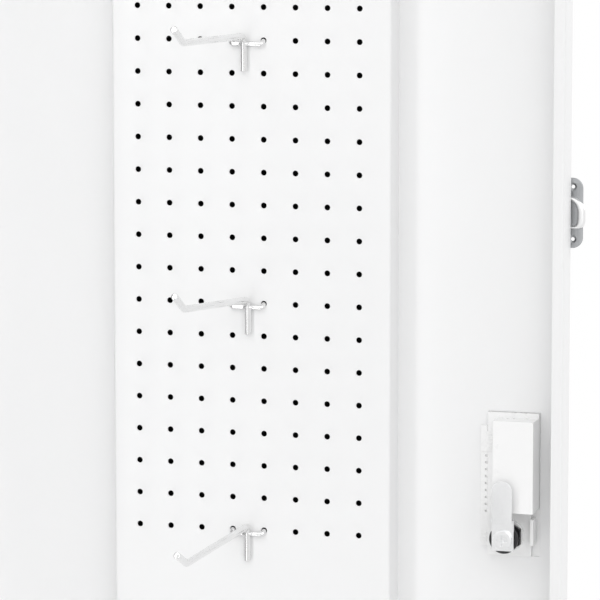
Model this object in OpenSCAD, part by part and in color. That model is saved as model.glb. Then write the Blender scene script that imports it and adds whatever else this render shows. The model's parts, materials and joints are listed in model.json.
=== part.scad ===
// Steel jewelry armoire: a tall cabinet whose one door carries a perforated hook panel.
// Frame: origin at the centre of the flat underside, front towards -Y, +Z up, millimetres.
// The door is drawn standing open at a right angle to the front.

/* [Cabinet] */
// Outside width of the cabinet
body_w = 530; // [440:1:640]
// Outside depth of the cabinet, without the door's swing
body_d = 530; // [440:1:640]
// Outside height of the cabinet
body_h = 1400; // [1180:1:1700]
// Thickness of every folded steel sheet
sheet = 1; // [0.8:0.1:1.2]
// Height of the closed plinth under the floor
plinth_h = 50; // [40:1:90]
// Height of the front rail over the door
rail_h = 30; // [25:1:60]
// Width of each stile seen from the front
stile_w = 16; // [15:1:40]
// Width of the rear edge that each side folds in
rear_fold = 15; // [10:1:30]

/* [Door] */
// Thickness of the door from its outside face to its folded lips
door_t = 25; // [24:1:32]
// Gap all round the shut door
door_gap = 2; // [1.5:0.1:4]
// Width of the lip folded in along each edge of the door
lip_w = 8.8; // [6:0.1:14]
// Width of the stop strip behind the shut door on the lock side
stop_w = 12; // [9:0.5:20]
// Clearance from the shut door's lips to the stop strip
stop_gap = 0.8; // [0.5:0.1:2]

/* [Hook panel] */
// Width of the perforated panel
panel_w = 224; // [180:1:280]
// Spacing of the holes, both ways
perf_pitch = 25.4; // [20:0.1:30]
// Diameter of each hole
perf_d = 4.6; // [4:0.1:6]
// Blank margin kept at each side of the panel
perf_margin = 20; // [15:0.5:30]
// Blank margin kept over the top row
perf_top = 60; // [30:1:100]
// Height of the lowest row above the floor the cabinet stands on
perf_bottom = 660; // [560:1:660]
// How far the pattern sits from the panel's middle towards the hinges
perf_shift = 1.8; // [0:0.1:4]

/* [Hooks] */
// Diameter of a hook's main rod
hook_d = 5.2; // [4:0.1:6.5]
// Diameter of the crossbar and its two pins
pin_d = 3; // [2:0.1:3.1]
// Reach of a hook from the panel to its bend
hook_reach = 148; // [60:1:180]
// Reach of the raised tip beyond the bend
tip_reach = 30; // [12:1:32]
// Rise of the tip
tip_rise = 11; // [5:1:25]
// Length of the leg that rests on the panel below the crossbar
leg_l = 21; // [15:1:23]

/* [Lock] */
// Distance from the free edge of the door to the lock's axis
lock_inset = 45.7; // [38:0.1:60]
// Height of the lock's axis above the floor
lock_z = 663; // [600:1:760]
// Diameter of the lock's barrel
barrel_d = 19; // [16:0.5:23]
// Diameter of the plug that turns in the barrel
plug_d = 12; // [9:0.5:13]
// Running clearance between plug and barrel, on the radius
plug_gap = 0.06; // [0.03:0.01:0.1]
// Gap between the turned cam's tip and the jamb
cam_tip_gap = 1.7; // [1:0.1:4]
// Width of the cam's tongue
cam_w = 16; // [10:0.1:17]
// Thickness of the cam
cam_t = 2; // [1.5:0.1:3]
// Width of the finger cup's inside
cup_w = 27.9; // [22:0.1:32]
// Height of the finger cup's inside
cup_h = 67.4; // [45:0.1:75]
// Wall of the moulded lock housing
cup_wall = 1.8; // [1.2:0.1:2.5]

/* [Hinges] */
// Outside radius of a hinge knuckle
knuckle_r = 4; // [3.5:0.1:4.2]
// Diameter of the hinge pin
hinge_pin_d = 5; // [3.5:0.1:5.5]
// Running clearance of the pin in each knuckle, on the radius
hinge_clear = 0.05; // [0.02:0.01:0.1]
// Height of each hinge
hinge_h = 60; // [50:1:90]
// Thickness of a hinge leaf
leaf_t = 1.5; // [1.2:0.1:1.8]
// Distance of the end hinges from the ends of the door
hinge_end = 120; // [80:1:200]

/* [Stop plate] */
// Height of the stop plate on the door's free edge
plate_h = 53.6; // [45:0.1:70]
// How far the stop plate reaches past the free edge
plate_reach = 8.2; // [6:0.1:12]
// Corner radius of the stop plate
plate_r = 8; // [5:0.5:10]
// Thickness of the stop plate
plate_t = 1.5; // [1.2:0.1:2.5]
// Height of the stop plate's middle above the floor
plate_z = 912.5; // [800:0.5:1100]
// Outside radius of the pressed ring
ring_r = 10; // [8:0.1:12]
// Width of the ring's band
ring_band = 5; // [3:0.1:6]
// Thickness of the ring
ring_t = 3; // [2.2:0.1:3.5]
// Distance of each countersunk hole from the plate's end
plate_edge = 6.8; // [5:0.1:9]

/* [Shelves] */
// Gap between the hooks' tips and the shelves when the door is shut
hook_clear = 22; // [10:1:60]
// Height of the fold along a shelf's front and back
shelf_fold = 20; // [12:1:40]
// Height of a shelf bracket
bracket_h = 18; // [12:1:30]

/* [Hidden] */
$fn = 48;
eps = 0.01;

// Cabinet planes
front_y = -body_d / 2;
back_y = body_d / 2;
inner_x = body_w / 2 - sheet;
open_x = body_w / 2 - stile_w;
stile_z1 = body_h - rail_h;
door_z0 = plinth_h + door_gap;
door_z1 = stile_z1 - door_gap;

// Wall anchor holes in the back
anchor_r = 3.5;
anchor_x = 200;
anchor_z = body_h - 60;

// Screws in the sides and buffers on the stop strip
screw_head_r = 4;
screw_head_t = 1.6;
screw_in = 40;
buffer_r = 5;
buffer_gap = 0.3;
buffer_t = stop_gap - buffer_gap;
buffer_zs = [door_z0 + 60, door_z1 - 60];

// Hinge axis, half a gap from the stile's edge and just proud of the front
axis_stand = knuckle_r + 0.5;
knuckle_gap = 0.3;
leaf_cut = knuckle_r + 0.8;
leaf_root = 1.2;
leaf_w = stile_w - 1;
hinge_x = open_x - door_gap / 2;
hinge_y = front_y - axis_stand;
hinge_zs = [door_z0 + hinge_end, (door_z0 + door_z1) / 2, door_z1 - hinge_end];

// Door planes in the door's own axes: n into the cabinet when shut, s along the door
skin_n = axis_stand;
lip_n = axis_stand + door_t;
door_s0 = door_gap / 2;
door_s1 = 2 * open_x - 3 * door_gap / 2;
mid_s = (door_s0 + door_s1) / 2;
stop_n = lip_n + stop_gap;

// Hook panel: as many holes as the margins leave room for
panel_s0 = mid_s - panel_w / 2;
panel_s1 = mid_s + panel_w / 2;
panel_z0 = door_z0 + lip_w + 1;
panel_z1 = door_z1 - lip_w - 1;
perf_cols = floor((panel_w - 2 * perf_margin) / perf_pitch) + 1;
perf_rows = floor((panel_z1 - perf_top - perf_bottom) / perf_pitch) + 1;
perf_s0 = mid_s - perf_shift - perf_pitch * (perf_cols - 1) / 2;

// Hooks: each hangs in two neighbouring holes
hook_column = 3;
hook_s = perf_s0 + (hook_column + 0.5) * perf_pitch;
hook_rows = [0, 7, 15];
hook_lift = [0.8, 4.5, 2];
hook_turn = [-1, -0.7, 1.5];
pin_drop = perf_d / 2 - pin_d / 2 - 0.1;
pin_back = 6;
pin_up = 6;
upset = 1.06;
leg_gap = 0.2;
bar_gap = 0.5;
prong_up = 3;
tip_spread = 1.2;

// Lock
lock_s = door_s1 - lock_inset;
cam_l = lock_inset + door_gap - cam_tip_gap;
box_z0 = lock_z + 20.6;
box_w = cup_w + 2 * cup_wall;
box_h = cup_h + 2 * cup_wall;
box_s0 = lock_s - 8.5;
block_w = box_w + 8.5;
block_s0 = box_s0 + box_w - block_w;
block_z0 = lock_z - 16;
block_z1 = box_z0 + box_h + 3.4;
foot_w = block_w - 5.3;
block_n = skin_n + 5;
box_n = lip_n - 0.3;
bezel_rim = 4.5;
bezel_t = 1.8;
bezel_r = 4;
seat_t = 3;
collar_t = 1.2;
collar_w = 2;
nut_n = block_n + seat_t;
nut_t = 4;
nut_w = 2.6;
clip_w = 5.2;
clip_pitch = 5.5;
clip_h = 93.5;
clip_tooth = 1.2;
cam_head_r = 7.5;
cam_head_t = 3;
cam_cross = 1.4;
key_bow_r = 11;
key_neck = 6;
key_eye_r = 2.5;
cut_gap = 0.5;
barrel_fit = 0.1;
barrel_n0 = skin_n - bezel_t - 0.8;
barrel_n1 = lip_n - 2;
cam_n = lip_n - 1;
cam_base = 15.4;
cam_gap = 1.2;
tongue_n = stop_n + sheet + cam_gap;
screw_r = 2;
screw_gap = 0.1;
slot_t = 1.7;
key_t = 1.5;
key_w = 7.4;
slot_deep = 17;

// Stop plate: the ring lies between the plate and the stile's face
ring_n1 = axis_stand - 0.3;
ring_n0 = ring_n1 - ring_t;
plate_n1 = ring_n0;
plate_n0 = plate_n1 - plate_t;
plate_lap = 24;
plate_s0 = door_s1 - plate_lap;
plate_s1 = door_s1 + plate_reach;
plate_holes = plate_h - 2 * plate_edge;
csk_r = 3;
hole_r = 1.4;
hole_s = door_s1 + 0.4;
ring_s = door_s1 + 0.2;
ring_up = 2;
ring_leg = 13.2;
spacer_l = ring_s - ring_r - 1.2 - plate_s0;
rivet_r = 2;
rivet_gap = 0.05;
rivet_head = 1.4;
rivet_s = plate_s0 + spacer_l / 2;

// Shelves
shelves = 3;
shelf_y0 = front_y + door_t + hook_reach + tip_reach + hook_clear;
shelf_w = 2 * inner_x - 2;
shelf_y1 = back_y - 2 * sheet - 1;
clear_h = body_h - 2 * sheet - plinth_h;
shelf_zs = [for (i = [1:shelves]) plinth_h + clear_h * i / (shelves + 1)];
bracket_w = 14;

white = "whitesmoke";
zinc = "lightsteelblue";
plastic = "white";
dark = "dimgray";

// ---- helpers -------------------------------------------------------------

// Puts children drawn in door axes (n, s, z) at the open door
module on_door() {
  translate([hinge_x, hinge_y, 0]) rotate([0, 0, 180]) children();
}

// A box from one corner to the opposite one
module block(a, b) {
  translate(a) cube(b - a);
}

// A rod of radius r from point a to point b
module rod(a, b, r) {
  d = b - a;
  translate(a)
    rotate([0, acos(d[2] / norm(d)), atan2(d[1], d[0])])
      cylinder(h = norm(d), r = r);
}

// A bent rod through a list of points, with a slightly upset ball at each bend
module bent_rod(points, r) {
  for (i = [0:len(points) - 2]) rod(points[i], points[i + 1], r);
  for (i = [1:len(points) - 2]) translate(points[i]) sphere(r = r * upset);
}

// A plate w by h with round corners, thickness t along +n, centred on the n axis
module round_plate(w, h, r, t) {
  rotate([90, 0, 90]) linear_extrude(height = t) {
    square([w - 2 * r, h], center = true);
    square([w, h - 2 * r], center = true);
    for (i = [-1, 1], j = [-1, 1])
      translate([i * (w / 2 - r), j * (h / 2 - r)]) circle(r = r);
  }
}

// A cylinder along +n from n0 to n1
module along_n(n0, n1, s, z, r) {
  translate([n0, s, z]) rotate([0, 90, 0]) cylinder(h = n1 - n0, r = r);
}

// ---- cabinet -------------------------------------------------------------

module base_tray() {
  color(white) difference() {
    block([-inner_x, front_y, 0], [inner_x, back_y - 2 * sheet, plinth_h - sheet]);
    block([-inner_x + sheet, front_y + sheet, sheet],
          [inner_x - sheet, back_y - 3 * sheet, plinth_h]);
  }
}

module floor_panel() {
  color(white)
    block([-inner_x, front_y, plinth_h - sheet], [inner_x, back_y - 2 * sheet, plinth_h]);
}

// One side: the sheet and the fold behind the back panel
module side_sheet(dir) {
  color(white) {
    x0 = dir * inner_x;
    translate([min(x0, x0 + dir * sheet), front_y, 0]) cube([sheet, body_d, body_h - sheet]);
    translate([dir > 0 ? x0 - rear_fold : x0, back_y - sheet, 0])
      cube([rear_fold, sheet, body_h - sheet]);
  }
}

module left_side() {
  side_sheet(-1);
}

module right_side() {
  side_sheet(1);
}

// The back sheet, with two holes for wall screws
module back_panel() {
  color(white) difference() {
    block([-inner_x, back_y - 2 * sheet, 0], [inner_x, back_y - sheet, body_h - sheet]);
    for (i = [-1, 1])
      translate([i * anchor_x, back_y, anchor_z])
        rotate([90, 0, 0]) cylinder(h = 4 * sheet, r = anchor_r);
  }
}

module top_panel() {
  color(white)
    block([-body_w / 2, front_y, body_h - sheet], [body_w / 2, back_y, body_h]);
}

// Front rail over the door, with a fold back at its lower edge
module top_rail() {
  color(white) {
    block([-inner_x, front_y, body_h - rail_h], [inner_x, front_y + sheet, body_h - sheet]);
    block([-inner_x, front_y, body_h - rail_h],
          [inner_x, front_y + door_t, body_h - rail_h + sheet]);
  }
}

// Stile on the lock side: face and jamb
module lock_stile() {
  color(white) {
    block([-inner_x, front_y, plinth_h], [-open_x, front_y + sheet, stile_z1]);
    block([-open_x - sheet, front_y, plinth_h], [-open_x, hinge_y + stop_n, stile_z1]);
  }
}

// Strip behind the jamb that stops the door and holds the cam
module stop_strip() {
  color(white)
    block([-open_x - sheet, hinge_y + stop_n, plinth_h],
          [-open_x + stop_w, hinge_y + stop_n + sheet, stile_z1]);
}

// Stile on the hinge side: face and jamb
module hinge_stile() {
  color(white) {
    block([open_x, front_y, plinth_h], [inner_x, front_y + sheet, stile_z1]);
    block([open_x, front_y, plinth_h], [open_x + sheet, front_y + door_t, stile_z1]);
  }
}

// A shelf: flat top with a fold down along its front and back
module shelf(z) {
  color(white) {
    block([-shelf_w / 2, shelf_y0, z - sheet], [shelf_w / 2, shelf_y1, z]);
    block([-shelf_w / 2, shelf_y0, z - shelf_fold], [shelf_w / 2, shelf_y0 + sheet, z]);
    block([-shelf_w / 2, shelf_y1 - sheet, z - shelf_fold], [shelf_w / 2, shelf_y1, z]);
  }
}

module lower_shelf() {
  shelf(shelf_zs[0]);
}

module middle_shelf() {
  shelf(shelf_zs[1]);
}

module upper_shelf() {
  shelf(shelf_zs[2]);
}

// Angle brackets under both ends of each shelf, screwed to the sides
module shelf_brackets() {
  y0 = shelf_y0 + 2 * sheet;
  y1 = shelf_y1 - 2 * sheet;
  color(white)
    for (z = shelf_zs, dir = [-1, 1]) mirror([dir < 0 ? 1 : 0, 0, 0]) {
      block([inner_x - sheet, y0, z - sheet - bracket_h], [inner_x, y1, z - sheet]);
      block([inner_x - bracket_w, y0, z - 2 * sheet], [inner_x, y1, z - sheet]);
    }
}

// Pan-head screws outside the cabinet, two per bracket
module frame_screws() {
  ys = [shelf_y0 + screw_in, shelf_y1 - screw_in];
  color(zinc)
    for (dir = [-1, 1], z = shelf_zs, y = ys)
      translate([dir * body_w / 2, y, z - sheet - bracket_h / 2])
        rotate([0, dir * 90, 0]) cylinder(h = screw_head_t, r = screw_head_r);
}

// Two thin rubber buffers on the stop strip
module stop_buffers() {
  color(dark)
    for (z = buffer_zs)
      translate([-open_x + stop_w / 2, hinge_y + stop_n, z])
        rotate([90, 0, 0]) cylinder(h = buffer_t, r = buffer_r);
}

// ---- hinges --------------------------------------------------------------

// One leaf, drawn with the axis on Z and the leaf towards +X behind the knuckle.
// side is -1 for the lower knuckle and 1 for the upper one.
module leaf(side) {
  half = hinge_h / 2;
  y1 = axis_stand;
  z_own = side < 0 ? -half : knuckle_gap / 2;
  h_own = half - knuckle_gap / 2;
  color(zinc) difference() {
    union() {
      translate([0, 0, z_own]) cylinder(h = h_own, r = knuckle_r);
      block([leaf_root, y1 - leaf_t, z_own], [leaf_cut + eps, y1, z_own + h_own]);
      block([leaf_cut, y1 - leaf_t, -half], [leaf_w, y1, half]);
    }
    translate([0, 0, z_own - 1]) cylinder(h = h_own + 2, r = hinge_pin_d / 2 + hinge_clear);
  }
}

module frame_leaf(i) {
  translate([hinge_x, hinge_y, hinge_zs[i]]) leaf(-1);
}

// The door's leaf is the frame's, mirrored, turned with the door to its open place
module door_leaf(i) {
  translate([hinge_x, hinge_y, hinge_zs[i]])
    rotate([0, 0, 90]) mirror([1, 0, 0]) leaf(1);
}

module pin(i) {
  color(zinc)
    translate([hinge_x, hinge_y, hinge_zs[i] - hinge_h / 2])
      cylinder(h = hinge_h, r = hinge_pin_d / 2);
}

module lower_hinge_frame_leaf() {
  frame_leaf(0);
}

module middle_hinge_frame_leaf() {
  frame_leaf(1);
}

module upper_hinge_frame_leaf() {
  frame_leaf(2);
}

module lower_hinge_door_leaf() {
  door_leaf(0);
}

module middle_hinge_door_leaf() {
  door_leaf(1);
}

module upper_hinge_door_leaf() {
  door_leaf(2);
}

module lower_hinge_pin() {
  pin(0);
}

module middle_hinge_pin() {
  pin(1);
}

module upper_hinge_pin() {
  pin(2);
}

// ---- door ----------------------------------------------------------------

// The door: a skin with four walls and a lip along each
module door_pan() {
  n0 = skin_n;
  n1 = lip_n;
  color(white) on_door() difference() {
    block([n0, door_s0, door_z0], [n1, door_s1, door_z1]);
    block([n0 + sheet, door_s0 + sheet, door_z0 + sheet],
          [n1 - sheet, door_s1 - sheet, door_z1 - sheet]);
    block([n1 - 2 * sheet, door_s0 + lip_w, door_z0 + lip_w],
          [n1 + 1, door_s1 - lip_w, door_z1 - lip_w]);
    block([n0 - 1, block_s0 - cut_gap, block_z0 - cut_gap],
          [n0 + 2 * sheet, block_s0 + block_w + cut_gap, block_z1 + cut_gap]);
  }
}

// The hook panel: a flat sheet punched all over
module perforated_panel() {
  color(white) on_door() difference() {
    block([lip_n - sheet, panel_s0, panel_z0], [lip_n, panel_s1, panel_z1]);
    for (c = [0:perf_cols - 1], r = [0:perf_rows - 1])
      along_n(lip_n - 2 * sheet, lip_n + 1,
              perf_s0 + c * perf_pitch, perf_bottom + r * perf_pitch, perf_d / 2);
  }
}

// Two upright strips that carry the hook panel's edges off the door's skin
module panel_channels() {
  n0 = skin_n + sheet;
  color(white) on_door() {
    block([n0, panel_s0, panel_z0], [lip_n - sheet, panel_s0 + sheet, panel_z1]);
    block([n0, panel_s1 - sheet, panel_z0], [lip_n - sheet, panel_s1, panel_z1]);
  }
}

// A hook on row r: leg, prong with raised tip, and a crossbar with two pins in the holes
module hook(i) {
  rr = hook_d / 2;
  pr = pin_d / 2;
  n_leg = rr + leg_gap;
  n_bar = pr + bar_gap;
  rise = hook_reach * tan(hook_lift[i]);
  side = hook_reach * tan(hook_turn[i]);
  color(zinc)
    on_door()
      translate([lip_n, hook_s, perf_bottom + hook_rows[i] * perf_pitch]) {
        bent_rod([
          [n_leg, 0, -leg_l], [n_leg, 0, prong_up], [hook_reach, side, prong_up + rise],
          [hook_reach + tip_reach, side * tip_spread, prong_up + rise + tip_rise]
        ], rr);
        half = perf_pitch / 2;
        bent_rod([
          [-pin_back, -half, pin_up], [-pin_back, -half, -pin_drop], [n_bar, -half, -pin_drop],
          [n_bar, half, -pin_drop], [-pin_back, half, -pin_drop], [-pin_back, half, pin_up]
        ], pr);
      }
}

module bottom_hook() {
  hook(0);
}

module middle_hook() {
  hook(1);
}

module top_hook() {
  hook(2);
}

// ---- lock ----------------------------------------------------------------

// Moulded housing: outside bezel, stepped block through the skin, finger cup and barrel seat
module lock_housing() {
  mid = block_s0 + block_w / 2;
  h = block_z1 - block_z0;
  zc = (block_z0 + block_z1) / 2;
  cup_s0 = box_s0 + cup_wall;
  cup_z0 = box_z0 + cup_wall;
  color(plastic) on_door() difference() {
    union() {
      translate([skin_n - bezel_t, mid, zc])
        round_plate(block_w + 2 * bezel_rim, h + 2 * bezel_rim, bezel_r, bezel_t);
      block([skin_n - eps, block_s0, block_z0], [block_n, block_s0 + foot_w, block_z1]);
      block([skin_n - eps, block_s0, box_z0], [block_n, block_s0 + block_w, block_z1]);
      block([skin_n, box_s0, box_z0], [box_n, box_s0 + box_w, box_z0 + box_h]);
      along_n(skin_n, nut_n, lock_s, lock_z, barrel_d / 2 + seat_t);
    }
    block([skin_n - bezel_t - 1, cup_s0, cup_z0],
          [box_n - cup_wall, cup_s0 + cup_w, cup_z0 + cup_h]);
    along_n(skin_n - bezel_t - 1, nut_n + 1, lock_s, lock_z, barrel_d / 2 + barrel_fit);
  }
}

// Two spring clips beside the block: a toothed strip and a short tab
module lock_clips() {
  s1 = block_s0 - 0.2;
  z0 = block_z0 + 7;
  s2 = block_s0 + foot_w + 0.6;
  color(plastic) on_door() {
    difference() {
      block([skin_n + sheet, s1 - clip_w, z0], [block_n, s1, z0 + clip_h]);
      for (z = [z0 + clip_pitch / 2:clip_pitch:z0 + clip_h])
        block([block_n - 2, s1 - clip_w - 1, z - clip_tooth],
              [block_n + 1, s1 - 1.5, z + clip_tooth]);
    }
    block([skin_n + sheet, s2, lock_z - 6], [block_n + 7, s2 + 2.5, lock_z + 14]);
  }
}

// Threaded barrel, black, with a collar outside the bezel
module lock_barrel() {
  color(dark) on_door() difference() {
    union() {
      along_n(barrel_n0, barrel_n1, lock_s, lock_z, barrel_d / 2);
      along_n(barrel_n0 - collar_t, skin_n - bezel_t, lock_s, lock_z, barrel_d / 2 + collar_w);
    }
    along_n(barrel_n0 - 3, barrel_n1 + 1, lock_s, lock_z, plug_d / 2 + plug_gap);
  }
}

// Thin nut that clamps the barrel to the housing
module barrel_nut() {
  color(zinc) on_door() difference() {
    translate([nut_n, lock_s, lock_z]) rotate([0, 90, 0])
      cylinder(h = nut_t, r = barrel_d / 2 + nut_w, $fn = 6);
    along_n(nut_n - 1, nut_n + nut_t + 1, lock_s, lock_z, barrel_d / 2 + barrel_fit);
  }
}

// The plug that the key turns
module lock_plug() {
  color(zinc) on_door() difference() {
    along_n(barrel_n0 - collar_t, cam_n, lock_s, lock_z, plug_d / 2);
    block([barrel_n0 - 2, lock_s - slot_t / 2, lock_z - key_w / 2 - 0.2],
          [barrel_n0 + slot_deep, lock_s + slot_t / 2, lock_z + key_w / 2 + 0.2]);
    along_n(cam_n - 6, cam_n + 1, lock_s, lock_z, screw_r + screw_gap);
  }
}

// Cranked cam: square base on the plug, a riser, and a round-ended tongue
module lock_cam() {
  w = cam_w / 2;
  color(zinc) on_door() translate([0, lock_s, lock_z]) {
    difference() {
      block([cam_n, -w - 0.6, -w - 0.6], [cam_n + cam_t, w + 0.6, cam_base]);
      along_n(cam_n - 1, cam_n + cam_t + 1, 0, 0, screw_r + screw_gap);
    }
    block([cam_n, -w, cam_base - cam_t], [tongue_n + cam_t, w, cam_base]);
    block([tongue_n, -w, cam_base - cam_t], [tongue_n + cam_t, w, cam_l - w]);
    intersection() {
      along_n(tongue_n, tongue_n + cam_t, 0, cam_l - w, w);
      block([tongue_n - 1, -w - 1, cam_l - w - eps], [tongue_n + cam_t + 1, w + 1, cam_l + 1]);
    }
  }
}

// Screw that holds the cam to the plug
module cam_screw() {
  n0 = cam_n + cam_t;
  color(zinc) on_door() {
    along_n(n0 - cam_t - 5, n0, lock_s, lock_z, screw_r);
    difference() {
      along_n(n0, n0 + cam_head_t, lock_s, lock_z, cam_head_r);
      block([n0 + cam_head_t - cam_cross, lock_s - 4, lock_z - 0.6],
            [n0 + cam_head_t + 1, lock_s + 4, lock_z + 0.6]);
      block([n0 + cam_head_t - cam_cross, lock_s - 0.6, lock_z - 4],
            [n0 + cam_head_t + 1, lock_s + 0.6, lock_z + 4]);
    }
  }
}

// The key, in the plug
module key() {
  n0 = barrel_n0 - collar_t - key_neck;
  color(zinc) on_door() translate([0, lock_s - key_t / 2, lock_z]) {
    block([n0 - 2, 0, -key_w / 2], [barrel_n0 + slot_deep - 1, key_t, key_w / 2]);
    difference() {
      translate([n0 - key_bow_r, 0, 0]) rotate([-90, 0, 0]) cylinder(h = key_t, r = key_bow_r);
      translate([n0 - key_bow_r - 5, -1, 0]) rotate([-90, 0, 0])
        cylinder(h = key_t + 2, r = key_eye_r);
    }
  }
}

// ---- stop plate ----------------------------------------------------------

// Plate past the free edge that laps the stile when the door is shut
module stop_plate() {
  w = plate_s1 - plate_s0;
  color(zinc) on_door() difference() {
    translate([plate_n0, (plate_s0 + plate_s1) / 2, plate_z])
      round_plate(w, plate_h, plate_r, plate_t);
    for (k = [-1, 1]) {
      along_n(plate_n0 - 1, plate_n1 + 1, hole_s, plate_z + k * plate_holes / 2, hole_r);
      translate([plate_n1 - 1, hole_s, plate_z + k * plate_holes / 2]) rotate([0, 90, 0])
        cylinder(h = 1 + eps, r1 = hole_r, r2 = csk_r);
      along_n(plate_n0 - 1, plate_n1 + 1, rivet_s,
              plate_z + k * plate_holes / 4, rivet_r + rivet_gap);
    }
  }
}

// Block between the stop plate and the door's skin
module plate_spacer() {
  color(zinc) on_door() difference() {
    block([plate_n1, plate_s0 + 1, plate_z - plate_holes / 2],
          [skin_n, plate_s0 + spacer_l, plate_z + plate_holes / 2]);
    for (k = [-1, 1])
      along_n(plate_n1 - 1, skin_n + 1, rivet_s,
              plate_z + k * plate_holes / 4, rivet_r + rivet_gap);
  }
}

// Two rivets through the plate and the spacer
module plate_rivets() {
  color(zinc) on_door()
    for (k = [-1, 1]) {
      z = plate_z + k * plate_holes / 4;
      along_n(plate_n0, skin_n, rivet_s, z, rivet_r);
      along_n(plate_n0 - 1, plate_n0, rivet_s, z, rivet_r + rivet_head);
    }
}

// Pressed ring on the back of the plate, round above and square below
module keeper_ring() {
  inner = ring_r - ring_band;
  color(zinc) on_door() translate([ring_n0, ring_s, plate_z + ring_up])
    difference() {
      union() {
        along_n(0, ring_t, 0, 0, ring_r);
        block([0, -ring_r, -ring_leg], [ring_t, ring_r, 0]);
      }
      along_n(-1, ring_t + 1, 0, 0, inner);
      block([-1, -inner, -ring_leg + ring_band], [ring_t + 1, inner, 0]);
    }
}

base_tray();
floor_panel();
left_side();
right_side();
back_panel();
top_panel();
top_rail();
lock_stile();
stop_strip();
hinge_stile();
lower_shelf();
middle_shelf();
upper_shelf();
shelf_brackets();
frame_screws();
stop_buffers();
lower_hinge_frame_leaf();
middle_hinge_frame_leaf();
upper_hinge_frame_leaf();
lower_hinge_pin();
middle_hinge_pin();
upper_hinge_pin();
lower_hinge_door_leaf();
middle_hinge_door_leaf();
upper_hinge_door_leaf();
door_pan();
perforated_panel();
panel_channels();
top_hook();
middle_hook();
bottom_hook();
lock_housing();
lock_clips();
lock_barrel();
barrel_nut();
stop_plate();
plate_spacer();
plate_rivets();
keeper_ring();
lock_plug();
lock_cam();
cam_screw();
key();
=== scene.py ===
import json
import math

import bmesh
import bpy
import numpy as np
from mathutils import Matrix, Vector

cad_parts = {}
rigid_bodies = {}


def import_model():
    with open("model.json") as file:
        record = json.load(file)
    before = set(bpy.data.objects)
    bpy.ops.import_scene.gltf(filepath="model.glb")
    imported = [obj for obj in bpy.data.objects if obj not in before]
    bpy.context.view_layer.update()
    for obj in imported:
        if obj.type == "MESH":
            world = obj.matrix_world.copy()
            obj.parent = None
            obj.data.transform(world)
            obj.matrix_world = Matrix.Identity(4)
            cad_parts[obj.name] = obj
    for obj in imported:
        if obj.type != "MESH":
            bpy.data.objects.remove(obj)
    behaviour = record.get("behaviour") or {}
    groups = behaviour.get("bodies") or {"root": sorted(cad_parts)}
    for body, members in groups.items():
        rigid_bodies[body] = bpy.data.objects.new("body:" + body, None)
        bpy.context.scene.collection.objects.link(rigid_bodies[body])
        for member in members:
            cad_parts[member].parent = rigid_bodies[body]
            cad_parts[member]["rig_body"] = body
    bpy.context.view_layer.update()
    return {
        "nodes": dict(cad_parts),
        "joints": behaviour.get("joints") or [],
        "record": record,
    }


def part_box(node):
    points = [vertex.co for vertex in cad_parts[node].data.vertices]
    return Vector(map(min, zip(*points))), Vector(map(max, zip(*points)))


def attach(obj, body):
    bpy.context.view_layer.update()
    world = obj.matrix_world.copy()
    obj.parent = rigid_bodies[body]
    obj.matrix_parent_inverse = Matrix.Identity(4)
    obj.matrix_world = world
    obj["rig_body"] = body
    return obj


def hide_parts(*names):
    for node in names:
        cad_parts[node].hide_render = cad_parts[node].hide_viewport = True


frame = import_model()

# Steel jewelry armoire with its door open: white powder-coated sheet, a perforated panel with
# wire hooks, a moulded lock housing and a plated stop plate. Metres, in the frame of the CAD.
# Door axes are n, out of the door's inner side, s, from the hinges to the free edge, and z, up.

MM = 0.001
SHEET = 1.0 * MM
FOLD_R = 0.9 * MM
SMOOTH_ANGLE = math.radians(32)

# ---- places, from the frame ------------------------------------------------

joints = {joint["name"]: joint for joint in frame["joints"]}
HINGE = joints["door_hinge"]["pos_m"]
mounts = {mount["name"]: mount for mount in frame["record"]["mounts"]}
GRID = mounts["peg_grid_corners"]
PITCH = 25.4 * MM
COLUMNS = round(GRID["dims"]["spacing_x_mm"] * MM / PITCH) + 1
ROWS = round(GRID["dims"]["spacing_y_mm"] * MM / PITCH) + 1
HOLE_R = GRID["dims"]["hole_r_mm"] * MM


def at(x, y, z):
    """Points of the frame from coordinates of any shapes that fit together."""
    return np.stack(np.broadcast_arrays(x, y, z), -1)


def door(n, s, z):
    """Points given in door axes, as points of the frame: the door stands open at a right angle."""
    return at(HINGE[0] - n, HINGE[1] - s, z)


def span(node):
    """A CAD node's box as three (low, high) pairs, along x, y and z."""
    low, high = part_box(node)
    return [(low[i], high[i]) for i in range(3)]


def door_span(node):
    """A CAD node's box as three (low, high) pairs, along n, s and z of the open door."""
    x, y, z = span(node)
    return (HINGE[0] - x[1], HINGE[0] - x[0]), (HINGE[1] - y[1], HINGE[1] - y[0]), z


# The middle of the hole grid, in door axes
GRID_S = HINGE[1] - GRID["pos_m"][1]
GRID_Z = GRID["pos_m"][2]


# ---- surfaces ----------------------------------------------------------------

def grid(points, wrap_u=False, wrap_v=False, keep=None):
    """Quads between neighbours of a u by v array of points, closed round u or v where asked.

    keep is a mask of the quads that are made."""
    nu, nv = points.shape[:2]
    index = np.arange(nu * nv).reshape(nu, nv)
    index = np.concatenate([index, index[:1]]) if wrap_u else index
    index = np.concatenate([index, index[:, :1]], 1) if wrap_v else index
    quads = np.stack([index[:-1, :-1], index[1:, :-1], index[1:, 1:], index[:-1, 1:]], -1)
    quads = quads.reshape(-1, 4) if keep is None else quads[keep]
    return points.reshape(-1, 3), quads


def disc(ring):
    """One flat face on a ring of points."""
    return ring, np.arange(len(ring))[None, :]


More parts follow.
